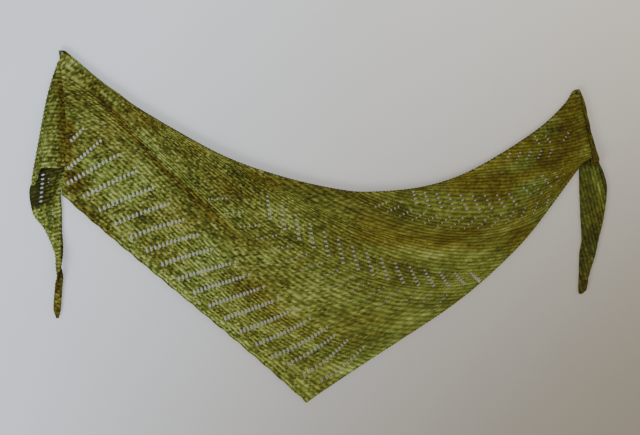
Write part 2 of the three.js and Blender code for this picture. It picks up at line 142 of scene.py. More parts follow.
# Eyelet lines: row and place of the first eyelet, spacing of the lines along the row and how it
# grows, how many lines and eyelets, whether a line climbs or falls, its lean along the row for
# each unit that it climbs and how that grows, and half of an eyelet across its line and along it
EYELET_LINES = table(
    "row x z pitch widen lines count climb lean slant long short",
    (6, 10, -234, 37.9, -0.18, 7, 14, 1, 0.42, 0.02, 4.7, 2.3),
    (6, 213, -403, 36.7, -0.1, 7, 16, 1, 0.56, 0.01, 4.6, 2.3),
    (8, 405, -562, 35, 0, 2, 14, 1, 0.6, -0.1, 4.3, 2.2),
    (10, 470, -586, 36.5, 0, 1, 12, 1, 0.6, 0, 4.0, 2.1),
    (12, 10, -209, 36.6, 0, 1, 11, 1, 0.26, 0, 4.6, 2.3),
    (24, 13, -163, 36.6, 0, 1, 5, 1, 0.27, 0, 4.4, 2.2),
    (65, 371, -303, 29.8, -0.2, 15, 6, 1, -0.8, 0, 3.7, 2.0),
    (58, 295, -262, 37, -1, 3, 5, -1, -0.92, 0, 2.6, 1.6),
    (59, 384, -330, 31.7, -0.35, 12, 5, -1, -0.92, 0, 2.6, 1.6),
    (114, 638, -270, 22.6, 0, 9, 4, 1, -0.5, 0, 3.3, 1.7),
    (110, 584, -268, 23.2, 0, 14, 4, -1, -1.1, 0, 2.6, 1.6),
    (145, 806, -184, 19, 0, 5, 3, -1, -0.6, 0, 2.4, 1.5),
    (150, 858, -154, 20, 0, 2, 3, 1, -0.6, 0, 2.5, 1.5),
)

# Eyelets beside the right pin, where the rows turn up and crowd: each stands by itself
HAND_EYELETS = table(
    "x z angle long short",
    (831, -243, -45, 2.8, 1.6), (837, -248, -45, 2.8, 1.6), (843, -253, -45, 2.4, 1.5),
    (850, -237, -45, 2.9, 1.6), (857, -245, -45, 2.6, 1.5), (863, -252, -45, 2.4, 1.5),
    (865, -221, -50, 3.0, 1.6), (870, -228, -50, 3.0, 1.6), (875, -234, -50, 2.8, 1.5),
    (880, -240, -50, 2.4, 1.5), (887, -216, -60, 2.8, 1.5), (891, -223, -60, 2.6, 1.5),
    (894, -230, -60, 2.3, 1.4), (904, -218, -60, 2.4, 1.4), (911, -144, 60, 2.4, 1.4),
    (907, -151, 60, 2.4, 1.4), (903, -157, 60, 2.2, 1.4),
)

# Drag folds of the panel, from one end to the other. A trough has a negative height
FOLDS = table(
    "from_x from_z to_x to_z height width",
    (4, -63, 92, -122, -2.4, 9),
    (4, -84, 110, -182, -2.2, 11),
    (10, -112, 150, -250, 2.0, 18),
    (905, -120, 800, -240, -2.0, 14),
    (928, -110, 890, -230, 2.0, 14),
)
SOFT_CREASES = table(
    "from_x from_z to_x to_z height width",
    (24, -30, 150, -128, 1.1, 9),
    (34, -52, 180, -160, -1.0, 10),
    (60, -130, 260, -300, 0.9, 16),
    (40, -190, 190, -330, -0.8, 14),
    (250, -180, 520, -330, 0.9, 26),
    (330, -280, 560, -420, -0.9, 24),
    (520, -275, 780, -300, 0.8, 20),
    (640, -300, 860, -262, -0.8, 16),
    (700, -232, 850, -160, 0.9, 11),
    (740, -212, 872, -136, -0.9, 9),
    (880, -118, 930, -190, 0.9, 9),
    (300, -440, 470, -590, 0.9, 22),
    (430, -520, 560, -540, -0.7, 18),
)

# Hems of the turned strips, how far they lap in front and behind, the inner edges of the tails,
# and the shares of each strip between which it turns
STRIP_HEM = -207.0
STRIP_SIDE_HEM = -238.0
STRIP_LAP = 1.3
BACK_LAP = 8.0
LEFT_TAIL_RIGHT = 5.0
RIGHT_HEM = -201.0
RIGHT_LAP = 2.0
RIGHT_TAIL_LEFT = 930.0
LEFT_ARC = (0.6, 0.85)
RIGHT_ARC = (0.35, 0.85)

# The two turns and tails: their sides at each height, how far each bulges or cups, and the radius
# of a turn, or the degrees that a tail has turned about its middle
LEFT_TURN = table(
    "z left bulge turn",
    (-14, -9, 0.3, 1.9), (-64, -25, 5, 2.8), (-105, -34, 9, 3.6), (-155, -43, 12, 4.6),
    (-228, -56, 14, 5.4),
)
LEFT_TAIL = table(
    "z left right cup turn",
    (-236, -58, 3, 1, 0), (-250, -61, -3, 3, 0), (-287, -55, -1, 6, 0), (-318, -33, -1, 8, 0),
    (-349, -20, 1, 9, 10), (-375, -14, 1, 9, 50), (-399, -12, 2, 8, 120),
    (-421, -14, 0, 3, 170), (-461, -17, -3, 2, 180), (-478, -12, -7, 1, 180),
)
RIGHT_TURN = table(
    "z side turn",
    (-69, 935, 0.8), (-84, 941, 1.7), (-137, 953, 3.0), (-169, 961, 4.0), (-190, 968, 5.0),
)
RIGHT_TAIL = table(
    "z left right cup turn",
    (-197, 931, 969, 1, 0), (-245, 932, 983, 3, 0), (-297, 934, 977, 4, 0),
    (-335, 936, 968, 4, 0), (-363, 932, 962, 3, 0), (-403, 931, 950, 2, 0),
    (-426, 930, 946, 1, 0), (-434, 932, 938, 0.5, 0),
)

# Eyelets of the left tail: a column of seven, and the small ones beside it
TAIL_SLANT = math.radians(-75)
SMALL_TAIL_EYELETS = ((-26, -226), (-26, -232.5), (-18, -283), (-17.5, -291), (-17, -299))
TAIL_EYELETS = table(
    "x z angle long short",
    *((-36 - 0.5 * k, -219 - 8 * k, TAIL_SLANT, 3.4, 2.0) for k in range(7)),
    *((x, z, TAIL_SLANT, 1.6, 1.3) for x, z in SMALL_TAIL_EYELETS),
)

# Dye pools of the yarn, as seen from the front: how light or dark, and how far from green towards
# brown
DYE_POOLS = table(
    "x z wide high light warm",
    (18, -15, 14, 12, 0.35, -0.4), (60, -120, 40, 26, 0.05, -0.3), (46, -198, 12, 9, 0.25, -0.9),
    (66, -215, 22, 20, 0.1, -1), (25, -228, 22, 20, -0.35, 0.8), (110, -240, 70, 60, 0.12, -0.5),
    (260, -400, 80, 70, 0.1, -0.4), (160, -110, 90, 30, -0.1, 0.5), (150, -240, 60, 30, 0.05, 0.1),
    (225, -300, 60, 34, 0.05, 0.2), (250, -215, 70, 34, -0.08, 0), (340, -240, 80, 26, -0.12, 0.3),
    (330, -430, 60, 40, -0.05, 0.4), (420, -480, 60, 40, 0.12, 0), (498, -570, 34, 18, 0.55, -0.3),
    (400, -590, 50, 22, 0.1, 0), (520, -330, 90, 30, -0.12, 0.2), (560, -290, 70, 22, -0.05, 0.4),
    (640, -400, 80, 30, 0.02, 0), (720, -330, 90, 26, -0.1, 0.5), (620, -470, 60, 24, 0.1, 0.1),
    (800, -240, 70, 34, -0.15, 0.7), (880, -190, 50, 40, -0.1, 1), (900, -130, 34, 34, -0.2, 0.9),
    (840, -330, 40, 30, -0.05, 0.8), (915, -90, 20, 20, -0.15, 0.8),
)

# Streaks along lines, with the same two values: streaks of the dye, and painted shade along the
# left crease and the right fold
DYE_AND_SHADE_LINES = table(
    "from_x from_z to_x to_z width light warm",
    (58, -70, 116, -134, 6, -0.25, 0.5),
    (98, -114, 190, -216, 6, -0.3, 0.9),
    (168, -192, 319, -336, 7, -0.3, 1.0),
    (40, -70, 104, -136, 3, 0.25, -0.1),
    (48, -92, 116, -164, 3, -0.25, 0.1),
    (66, -136, 156, -238, 8, 0.15, -0.1),
    (140, -222, 262, -332, 9, 0.13, 0.0),
    # Painted shade in the crease beside the left pin
    (14, -118, 12, -205, 8, -0.2, 1.3),
    (20, -265, 120, -345, 8, -0.3, 0.5),
    (560, -262, 300, -218, 9, -0.2, 0.3),
    (520, -330, 760, -352, 10, 0.22, 0.5),
    (560, -355, 800, -362, 9, 0.15, -0.2),
    (690, -250, 900, -205, 8, 0.05, 0.9),
    (700, -232, 880, -150, 9, 0.1, 0.9),
    (640, -372, 868, -290, 8, 0.25, -0.1),
    (90, -100, 250, -262, 9, 0.12, -0.4),
    (60, -296, 420, -600, 8, 0.18, -0.5),
    # Painted shade along the right fold
    (937, -75, 958, -185, 5, -0.45, 1.1),
    (912, -105, 806, -222, 15, -0.06, -0.8),
    (880, -218, 800, -262, 15, 0.0, -0.75),
    (925, -150, 890, -160, 7, 0.1, 0.6),
)

# Selvedges: the side where rows start or end, the two rows between which each runs, and its dye
SELVEDGES = (
    ("border_selvedge", "end", (0, 39), 0.1, 0.0),
    ("body_selvedge", "end", (39, 98), 0.0, 0.3),
    ("upper_selvedge", "end", (98, 140), -0.2, 0.8),
    ("top_selvedge_left", "start", (58, 98), -0.25, 0.2),
    ("top_selvedge_right", "start", (98, 175), -0.25, 0.5),
)

# Dye ramps of the yarn, from dark to light: tone and colour
GREENS = ((0, 52, 60, 10), (0.3, 98, 110, 34), (0.55, 138, 152, 60), (0.8, 176, 190, 94),
          (1, 206, 216, 128))
BROWNS = ((0, 60, 48, 2), (0.35, 106, 92, 12), (0.65, 142, 132, 36), (1, 186, 182, 90))
# Darkest share of the painted shade in the gaps between the ridges and loops
GAP_SHADE = 0.46
DARK_PIN_FROM = 0.4

# The wall's paint and painted light: how its painted shade grows to the right, downwards and
# towards the lower right corner, where the shade levels off and how softly, and how strongly the
# wall glows with a painted glow
WALL_SHADE = {"right": 0.3, "down": -0.6, "corner": -0.5, "most": 0.86, "soft": 0.5}
WALL_PAINTED_GLOW = 0.49

# The staged room, in metres
ROOM = {"left": -3, "right": 4, "front": -3, "back": 3, "floor": -2.4, "top": 1.6}
WALL_BEHIND = 0.0006

# The photograph: size of a pixel in the panel's plane, width and middle in pixels, the pixel of the
# origin, and how far the camera stands from the panel, in metres
PIXEL = 1.8
PHOTO_WIDTH = 640
PHOTO_MIDDLE = (320, 217.5)
ORIGIN_PIXEL = (62, 53)
CAMERA_DISTANCE = 2.4
SENSOR_WIDTH = 36.0


def table_value(rows, key, column, place):
    """Value of a column at a place between a table's rows. Each span is a cubic, whose slope at a
    row is the harmonic mean of the slopes on both sides, or 0 at a turning point."""
    keys, values = rows[key], rows[column]
    if keys[-1] < keys[0]:
        keys, values = keys[::-1], values[::-1]
    slopes = np.diff(values) / np.diff(keys)
    before, after = slopes[:-1], slopes[1:]
    same_way = before * after > 0
    total = np.where(same_way, before + after, 1.0)
    middle = np.where(same_way, 2 * before * after / total, 0.0)
    tangents = np.concatenate([slopes[:1], middle, slopes[-1:]])
    spot = np.clip(np.searchsorted(keys, place, side="right") - 1, 0, len(keys) - 2)
    span = keys[spot + 1] - keys[spot]
    f = np.clip((place - keys[spot]) / span, 0, 1)
    start = values[spot] * (1 + 2 * f) * (1 - f) ** 2
    end = values[spot + 1] * f * f * (3 - 2 * f)
    leave = tangents[spot] * span * f * (1 - f) ** 2
    arrive = tangents[spot + 1] * span * f * f * (f - 1)
    return start + end + leave + arrive


def smoothstep(value, low, high):
    """0 below low, 1 above high, and 3f^2 - 2f^3 between them."""
    f = np.clip((value - low) / (high - low), 0, 1)
    return f * f * (3 - 2 * f)


def lerp(start, end, f):
    """The value a share f of the way from start to end."""
    return start + (end - start) * f


def bell(distance, width):
    """exp of minus the square of distance over width: 1 at 0, and small past twice the width."""
    return np.exp(-((distance / width) ** 2))


def wander(a, b, size, seed):
    """Smooth unevenness over a plane, mostly from -1 to 1: a third of the sum of five sine waves,
    each about size long, whose directions and phases come from the seed."""
    draw = np.random.default_rng(seed)
    total = np.zeros(np.broadcast(a, b).shape)
    for _ in range(5):
        angle, phase = draw.uniform(0, 2 * math.pi, 2)
        turn = 2 * math.pi / (size * draw.uniform(0.7, 1.5))
        total += np.sin(turn * (a * math.cos(angle) + b * math.sin(angle)) + phase)
    return total / 3


def unit(vectors):
    """The same directions with length 1."""
    return vectors / np.maximum(np.linalg.norm(vectors, axis=-1, keepdims=True), 1e-9)


def curve_through(points, steps=40):
    """Uniform Catmull-Rom curve: in each span, half of the neighbours' difference is the slope."""
    ends = np.vstack([points[:1], points, points[-1:]])
    t = np.linspace(0, 1, steps, endpoint=False)[:, None]
    spans = []
    for i in range(len(points) - 1):
        before, start, end, after = ends[i:i + 4]
        leave, arrive = (end - before) / 2, (after - start) / 2
        cubic = (2 * start - 2 * end + leave + arrive) * t ** 3
        square = (3 * end - 3 * start - 2 * leave - arrive) * t ** 2
        spans.append(cubic + square + leave * t + start)
    return np.vstack(spans + [points[-1:]])


def edge_path(*stretches):
    """Places along an edge of the panel, with the share of its length at each."""
    places = np.vstack([curve_through(np.column_stack([s["x"], s["z"]])) for s in stretches])
    chords = np.hypot(*np.diff(places, axis=0).T)
    length = np.concatenate([[0], np.cumsum(chords)])
    return {"share": length / length[-1], "places": places}


def path_point(path, share):
    """Place on a path at a share of its length, between its two nearest samples."""
    x = np.interp(share, path["share"], path["places"][:, 0])
    z = np.interp(share, path["share"], path["places"][:, 1])
    return np.stack([x, z], axis=-1)


def share_near(path, x, z):
    """Share of a path's length where it passes nearest to each point."""
    apart = np.hypot(path["places"][:, :1] - x, path["places"][:, 1:] - z)
    return path["share"][np.argmin(apart, axis=0)]


LEFT_AND_TOP = edge_path(CREASE, TOP_EDGE)
LOWER_AND_RIGHT = edge_path(LOWER_EDGE, RIGHT_FOLD)
ROW_LINES["start"] = share_near(LEFT_AND_TOP, ROW_LINES["start_x"], ROW_LINES["start_z"])
ROW_LINES["end"] = share_near(LOWER_AND_RIGHT, ROW_LINES["end_x"], ROW_LINES["end_z"])


def row_stations(row):
    """The four places that a knitted row passes, the share of its length at each, and its length.
    Between the listed rows each place moves straight and evenly."""
    at = {name: np.interp(row, ROW_LINES["row"], ROW_LINES[name])
          for name in ("start", "end", "left_x", "left_z", "right_x", "right_z")}
    places = np.stack([
        path_point(LEFT_AND_TOP, at["start"]),
        np.stack([at["left_x"], at["left_z"]], axis=-1),
        np.stack([at["right_x"], at["right_z"]], axis=-1),
        path_point(LOWER_AND_RIGHT, at["end"]),
    ])
    chords = np.linalg.norm(np.diff(places, axis=0), axis=-1)
    lengths = np.concatenate([np.zeros((1,) + chords.shape[1:]), np.cumsum(chords, axis=0)])
    return places, lengths / lengths[-1], lengths[-1]


def row_point(share, row):
    """Place on a knitted row, seen from the front: the cubic through its four places."""
    places, shares, _ = row_stations(row)
    point = 0
    for i in range(4):
        weight = 1
        for j in range(4):
            if i != j:
                weight = weight * (share - shares[j]) / (shares[i] - shares[j])
        point = point + places[i] * weight[..., None]
    return point


def row_length(row):
    """Length of a knitted row, over the chords between its four places."""
    return row_stations(row)[2]


def fold_heights(folds, x, z):
    """Sum of soft ridges: each is a bell across its line that fades towards both ends."""
    total = 0
    columns = "from_x from_z to_x to_z height width"
    for x_0, z_0, x_1, z_1, height, width in each_row(folds, columns):
        reach = np.hypot(x_1 - x_0, z_1 - z_0)
        run_x, run_z = (x_1 - x_0) / reach, (z_1 - z_0) / reach
        along = ((x - x_0) * run_x + (z - z_0) * run_z) / reach
        aside = (x - x_0) * run_z - (z - z_0) * run_x
        fade = smoothstep(along, -0.1, 0.2) * (1 - smoothstep(along, 0.6, 1.1))
        total = total + height * fade * bell(aside, width)
    return total


def crease_x(z):
    """Where the crease beside the left pin runs at each height."""
    return table_value(CREASE, "z", "x", z)


def crease_depth(z):
    """How far the cloth stands out in that crease."""
    return lerp(DEPTH["at_pins"], DEPTH["valley"], smoothstep(-z, 0, 120))


def panel_depth(x, z):
    """How far the panel stands from the wall: near it at the pins, the lowest tip and the left
    crease, out in between, with the folds on top."""
    from_left = np.hypot(x, z)
    from_right = np.hypot(x - PIN_SPACING, z + PIN_DROP)
    from_tip = np.hypot(x - LOWER_EDGE["x"][0], z - LOWER_EDGE["z"][0])
    pins = np.maximum(bell(from_left, 90), bell(from_right, 60))
    depth = DEPTH["panel"] + (DEPTH["tip"] - DEPTH["panel"]) * bell(from_tip, 160)
    depth = depth + fold_heights(FOLDS, x, z) + fold_heights(SOFT_CREASES, x, z)
    depth = depth + UNEVEN_DEPTH * wander(x, z, 120, 3)
    depth = lerp(depth, DEPTH["at_pins"], pins)
    aside = np.maximum(x - crease_x(z), 0)
    return lerp(depth, crease_depth(z), bell(aside, 20))


def garter_relief(stitch, row):
    """Heights of garter knitting. The middle of the cloth waves once in two rows. Each crest
    carries two courses of purl bumps, half a stitch apart, and the back has its own between the
    front's."""
    ridge = row / 2
    middle = -RIDGE_WAVE * np.cos(2 * math.pi * ridge)

    def bumps(phase):
        place = phase - np.floor(phase)
        loop = 0.5 * np.cos(2 * math.pi * stitch)
        upper = (0.5 + loop) * bell(place - PURL_COURSES[0], PURL_SPREAD)
        lower = (0.5 - loop) * bell(place - PURL_COURSES[1], PURL_SPREAD)
        return PURL_BUMP * (upper + lower)

    return middle, bumps(ridge), bumps(ridge + 0.5)


def smooth_normals(points):
    """Unit normals of a grid of points: the cross product of its two central differences."""
    return unit(np.cross(np.gradient(points, axis=1), np.gradient(points, axis=0)))


def pool_values(x, z):
    """Lightness and warmth at each place, of the dye and of the painted shade along the left crease
    and the right fold: the pools as soft ovals, with the streaks as soft bands on top."""
    light, warm = 0, 0
    for pool_x, pool_z, wide, high, pool_light, pool_warm in each_row(DYE_POOLS):
        spot = np.exp(-((x - pool_x) / wide) ** 2 - ((z - pool_z) / high) ** 2)
        light = light + spot * pool_light
        warm = warm + spot * pool_warm
    light = light + fold_heights(dict(DYE_AND_SHADE_LINES, height=DYE_AND_SHADE_LINES["light"]), x, z)
    warm = warm + fold_heights(dict(DYE_AND_SHADE_LINES, height=DYE_AND_SHADE_LINES["warm"]), x, z)
    return light, warm


def make_mesh(name, points, faces, uv, attributes, material):
    """A new mesh object on the root, from arrays: points in millimetres, faces as index rows, and
    values by point."""
    mesh = bpy.data.meshes.new(name)
    corners = np.concatenate([f.ravel() for f in faces])
    sizes = np.concatenate([np.full(len(f), f.shape[1]) for f in faces])
    mesh.vertices.add(len(points))
    mesh.vertices.foreach_set("co", (points * MM).astype(np.float32).ravel())
    mesh.loops.add(len(corners))
    mesh.loops.foreach_set("vertex_index", corners.astype(np.int32))
    mesh.polygons.add(len(sizes))
    starts = np.concatenate([[0], np.cumsum(sizes)[:-1]])
    mesh.polygons.foreach_set("loop_start", starts.astype(np.int32))
    mesh.update(calc_edges=True)
    mesh.polygons.foreach_set("use_smooth", np.ones(len(sizes), bool))
    layer = mesh.uv_layers.new(name="Knitting")
    layer.data.foreach_set("uv", uv[corners].astype(np.float32).ravel())
    for key, values in attributes.items():
        attribute = mesh.attributes.new(key, "FLOAT", "POINT")
        attribute.data.foreach_set("value", values.astype(np.float32))
    mesh.materials.append(material)
    piece = bpy.data.objects.new(name, mesh)
    bpy.context.scene.collection.objects.link(piece)
    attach(piece, "root")
    return piece


def boundary_edges(quads):
    """Directed edges that only one face uses."""
    heads = quads.ravel()
    tails = np.roll(quads, -1, axis=1).ravel()
    keep = heads != tails
    heads, tails = heads[keep], tails[keep]
    size = int(quads.max()) + 1
    forward = heads.astype(np.int64) * size + tails
    backward = tails.astype(np.int64) * size + heads
    alone = ~np.isin(forward, backward)
    return np.column_stack([heads[alone], tails[alone]])


def cloth_shell(name, middle, front_lift, back_lift, cells, uv, attributes, material):
    """A closed shell over a grid: its front points stand half a wall and the front relief out along
    the normal, its back points the other way, and every rim, at an edge or eyelet, is closed."""
    normals = smooth_normals(middle)
    front = middle + normals * (WALL / 2 + front_lift)[..., None]
    back = middle - normals * (WALL / 2 + back_lift)[..., None]
    used = np.unique(cells)
    index = np.full(middle.shape[0] * middle.shape[1], -1)
    index[used] = np.arange(len(used))
    cells = index[cells]
    count = len(used)
    rim = boundary_edges(cells)
    walls = np.column_stack([rim[:, 1], rim[:, 0], rim[:, 0] + count, rim[:, 1] + count])
    triangle = cells[:, 2] == cells[:, 3]
    quads, triangles = cells[~triangle], cells[triangle][:, :3]
    faces = [quads, quads[:, ::-1] + count, triangles, triangles[:, ::-1] + count, walls]
    points = np.vstack([front.reshape(-1, 3)[used], back.reshape(-1, 3)[used]])
    flat = uv.reshape(-1, 2)[used]
    values = {key: np.tile(value.ravel()[used], 2) for key, value in attributes.items()}
    faces = [f for f in faces if len(f)]
    return make_mesh(name, points, faces, np.vstack([flat, flat]), values, material)


def eyelet_places():
    """Place, direction and half sizes of each eyelet of the panel. A line walks from its root one
    row at a time, leans along the row as it climbs, and its last eyelets are the shortest."""
    found = []
    shares = np.linspace(0, 1, ROW_SAMPLES)
    for row, x, z, pitch, widen, lines, count, climb, lean, slant, long, short in each_row(
            EYELET_LINES):
        near = row_point(shares, np.full(ROW_SAMPLES, row)) - [x, z]
        order = np.arange(int(lines))
        out = pitch * order + widen * order * (order - 1) / 2
        share = shares[np.argmin(np.hypot(*near.T))] + out / row_length(np.array(row))
        places = []
        for step in range(int(count) * 2 + 1):
            row_now = np.full(share.shape, row + step * climb)
            places.append(row_point(share, row_now))
            along = unit(row_point(share + 0.005, row_now) - row_point(share - 0.005, row_now))
            rise = row_point(share, row_now + climb) - places[-1]
            drift = (rise * along).sum(axis=1)
            height = np.abs(rise[:, 0] * along[:, 1] - rise[:, 1] * along[:, 0])
            share = share + ((lean + slant * order) * height - drift) / row_length(row_now)
        centres = np.array(places[:-2:2])
        course = np.array(places[2::2]) - centres
        angle = np.arctan2(course[..., 1], course[..., 0])
        sizes = long * lerp(1.0, LAST_EYELET, np.linspace(0, 1, len(centres)) ** 2)
        sizes = np.broadcast_to(sizes[:, None], angle.shape)
        for centre, turned, size in zip(centres.reshape(-1, 2), angle.ravel(), sizes.ravel()):
            found.append((*centre, turned, size, short))
    for x, z, degrees, long, short in each_row(HAND_EYELETS):
        found.append((x, z, math.radians(degrees), long, short))
    return table("x z angle long short", *found)


def oval_distance(x, z, eyelets, k):
    """How far a point lies from an eyelet's centre, as a share of the oval's size there."""
    off_x, off_z = x - eyelets["x"][k], z - eyelets["z"][k]
    turn = eyelets["angle"][k]
    along = off_x * math.cos(turn) + off_z * math.sin(turn)
    across = off_z * math.cos(turn) - off_x * math.sin(turn)
    return np.sqrt((along / eyelets["short"][k]) ** 2 + (across / eyelets["long"][k]) ** 2)


def cut_eyelets(x, z, cells, eyelets):
    """Drops the cells whose middle lies in an eyelet, and draws the points round the gap onto the
    oval's outline. Returns the new places and the cells that stay, with a rim mask."""
    flat_x, flat_z = x.ravel().copy(), z.ravel().copy()
    middle_x = flat_x[cells].mean(axis=1)
    middle_z = flat_z[cells].mean(axis=1)
    keep = np.ones(len(cells), bool)
    rim = np.zeros(len(flat_x))
    order = np.argsort(middle_x)
    sorted_x = middle_x[order]
    for k, (eyelet_x, eyelet_z) in enumerate(each_row(eyelets, "x z")):
        low = np.searchsorted(sorted_x, eyelet_x - EYELET_REACH)
        high = np.searchsorted(sorted_x, eyelet_x + EYELET_REACH)
        near = order[low:high]
        near = near[np.abs(middle_z[near] - eyelet_z) < EYELET_REACH]
        if len(near) == 0:
            continue
        inside = oval_distance(middle_x[near], middle_z[near], eyelets, k) < 1
        gone, stay = near[inside], near[~inside]
        keep[gone] = False
        shared = np.intersect1d(cells[gone], cells[stay])
        if len(shared):
            d = oval_distance(flat_x[shared], flat_z[shared], eyelets, k)
            pull = 1 / np.clip(d, 0.5, 2.0)
            flat_x[shared] = eyelet_x + (flat_x[shared] - eyelet_x) * pull
            flat_z[shared] = eyelet_z + (flat_z[shared] - eyelet_z) * pull
            rim[shared] = 1
    return flat_x.reshape(x.shape), flat_z.reshape(x.shape), cells[keep], rim.reshape(x.shape)


def edge_scallop(out, row):
    """How far the bind-off edge swings out: a cosine with one wave for each eyelet line, which
    fades in a few rows."""
    swing = SCALLOP * np.cos(2 * math.pi * out / LACE_PITCH + 0.6)
    return swing * np.clip(1 - row / SCALLOP_ROWS, 0, 1)


def panel_cloth(name, first_row, last_row, material):
    """A stretch of the front panel, on a grid of knitted rows and whole stitches counted from the
    lower and right edge. Points past a row's start gather on it."""
    step = 2 / STEPS_PER_RIDGE
    inner = np.arange(math.floor(first_row / step) + 1, math.ceil(last_row / step)) * step
    rows = np.concatenate([[first_row], inner, [last_row]])
    lengths = row_length(rows)
    spacing = STITCH / COLUMNS_PER_STITCH
    columns = int(np.ceil(lengths.max() / spacing)) + 1
    last = np.maximum(np.ceil(lengths / spacing - 0.3).astype(int), 1)
    column = np.arange(columns)
    out = np.minimum(column[None, :] * spacing, lengths[:, None])
    out = np.where(column[None, :] >= last[:, None], lengths[:, None], out)
    row = np.broadcast_to(rows[:, None], out.shape)
    share = 1 - out / lengths[:, None]
    place = row_point(share, row)
    stitch = out / STITCH
    ends = np.minimum(out, lengths[:, None] - out)
    wobble = UNEVEN_ROWS * wander(stitch, row, 9, 11) * smoothstep(ends, 0, 12)
    x = place[..., 0] + wobble * UNEVEN_STITCHES
    z = place[..., 1] + wobble - edge_scallop(out, row)
    at = np.arange(len(rows))[:, None] * columns + np.minimum(column[None, :], last[:, None])
    a, b = at[:-1, :-1], at[:-1, 1:]
    d, c = at[1:, :-1], at[1:, 1:]
    quads = np.stack([b, a, d, c], axis=-1).reshape(-1, 4)
    x, z, cells, rim = cut_eyelets(x, z, pinched_cells(quads), EYELETS)
    middle_wave, front, back = garter_relief(stitch, row)
    depth = panel_depth(x, z) + lace_puff(row, out) + middle_wave
    light, warm = pool_values(x, z)
    points = np.stack([x, -depth, z], axis=-1)
    uv = np.stack([stitch, row], axis=-1)
    rim_lift = EYELET_RIM * rim
    piece = cloth_shell(
        name, points[:, ::-1], (front + rim_lift)[:, ::-1], (back + rim_lift)[:, ::-1],
        mirror_cells(cells, columns), uv[:, ::-1],
        {"light": light[:, ::-1], "warm": warm[:, ::-1]}, material,
    )
    return piece


def pinched_cells(quads):
    """Cells whose corners meet become triangles, marked by a repeated last corner, and cells that
    have shrunk to a line go."""
    same = quads == np.roll(quads, -1, axis=1)
    count = same.sum(axis=1)
    whole = quads[count == 0]
    pinched = quads[count == 1]
    spot = np.argmax(same[count == 1], axis=1)
    order = (spot[:, None] + 1 + np.arange(4)[None, :]) % 4
    triangles = np.take_along_axis(pinched, order, axis=1)
    triangles[:, 3] = triangles[:, 2]
    return np.vstack([whole, triangles])


def mirror_cells(cells, columns):
    """The same cells on a grid whose columns run the other way."""
    return (cells // columns) * columns + (columns - 1 - cells % columns)


def lace_puff(row, out):
    """In the border, the garter bands between the eyelet lines stand a little forward."""
    band = smoothstep(row, 4, 10) * (1 - smoothstep(row, 30, 38))
    return LACE_PUFF * band * np.cos(2 * math.pi * (out - LACE_LEAN * row) / LACE_PITCH)


def grid_cells(rows, columns):
    """Corner indexes of each cell of a grid."""
    at = np.arange(rows * columns).reshape(rows, columns)
    cells = np.stack([at[:-1, :-1], at[:-1, 1:], at[1:, 1:], at[1:, :-1]], axis=-1)
    return cells.reshape(-1, 4)


def turned_back(u, arc, edge, edge_depth, side, radius, way, lap):
    """A strip that turns back round one side. It runs from its edge to the side and out to the
    depth of the arc, follows half a circle between the two shares of the arc, and laps back along
    the wall. Also returns how far the front part has come."""
    f, g, h = (np.clip((u - start) / (end - start), 0, 1)
               for start, end in ((0, arc[0]), arc, (arc[1], 1)))
    front_depth = lerp(edge_depth, DEPTH["back"] + 2 * radius, smoothstep(f, 0, 1))
    arc_depth = DEPTH["back"] + radius + radius * np.cos(math.pi * g)
    arc_x = side + way * radius * np.sin(math.pi * g)
    parts = [u < arc[0], u < arc[1]]
    x = np.select(parts, [lerp(edge, side, f), arc_x], side - way * h * lap)
    return x, np.select(parts, [front_depth, arc_depth], DEPTH["back"]), f


def shell_on_grid(name, x, depth, z, stitch, row, light, warm, material, eyelets=None):
    """A cloth shell over a whole grid, with garter relief by its stitch and row numbers."""
    cells = grid_cells(*x.shape)
    if eyelets is not None:
        x, z, cells, _ = cut_eyelets(x, z, cells, eyelets)
    wave, front, back = garter_relief(stitch, row)
    points = np.stack([x, -depth, z], axis=-1)
    points = points + smooth_normals(points) * wave[..., None]
    uv = np.stack([stitch, row], axis=-1)
    values = {"light": light, "warm": warm}
    return cloth_shell(name, points, front, back, cells, uv, values, material)


def run_lengths(x, depth, z):
    """Length along each row of a grid, from its first point."""
    steps = np.sqrt(sum(np.diff(value, axis=1) ** 2 for value in (x, depth, z)))
    return np.pad(np.cumsum(steps, axis=1), ((0, 0), (1, 0)))


def edge_tube(name, x, z, radius, pitch, light, warm, material):
    """A corded edge on the panel: rings of points round a line, at right angles to it. The radius
    swells once in each pitch of length, and the two end rings shrink to a point."""
    points = np.stack([x, -panel_depth(x, z), z], axis=1)
    steps = np.linalg.norm(np.diff(points, axis=0), axis=1)
    length = np.concatenate([[0], np.cumsum(steps)])
    at = np.linspace(0, length[-1], int(length[-1] / RING_SPACING) + 2)
    line = np.stack([np.interp(at, length, points[:, i]) for i in range(3)], axis=1)
    ahead = unit(np.gradient(line, axis=0))
    side = unit(np.cross(ahead, [0.0, 1.0, 0.0]))
    out = np.cross(side, ahead)
    swell = radius + LINK_SWELL * np.cos(2 * math.pi * at / pitch)
    swell[0] = swell[-1] = 0.05
    turn = np.arange(RING_POINTS) * 2 * math.pi / RING_POINTS
    cosine, sine = np.cos(turn)[None, :, None], np.sin(turn)[None, :, None]
    rings = line[:, None] + (side[:, None] * cosine + out[:, None] * sine) * swell[:, None, None]
    index = np.arange(len(at) * RING_POINTS).reshape(len(at), RING_POINTS)
    after = np.roll(index, -1, axis=1)
    quads = np.stack([index[:-1], index[1:], after[1:], after[:-1]], axis=-1).reshape(-1, 4)
    caps = np.stack([index[0], index[-1][::-1]])
    uv = np.stack(np.broadcast_arrays(at[:, None] / STITCH, 0.7 + turn / 4), axis=-1).reshape(-1, 2)
    values = {"light": np.full(len(uv), light), "warm": np.full(len(uv), warm)}
    return make_mesh(name, rings.reshape(-1, 3), [quads, caps], uv, values, material)


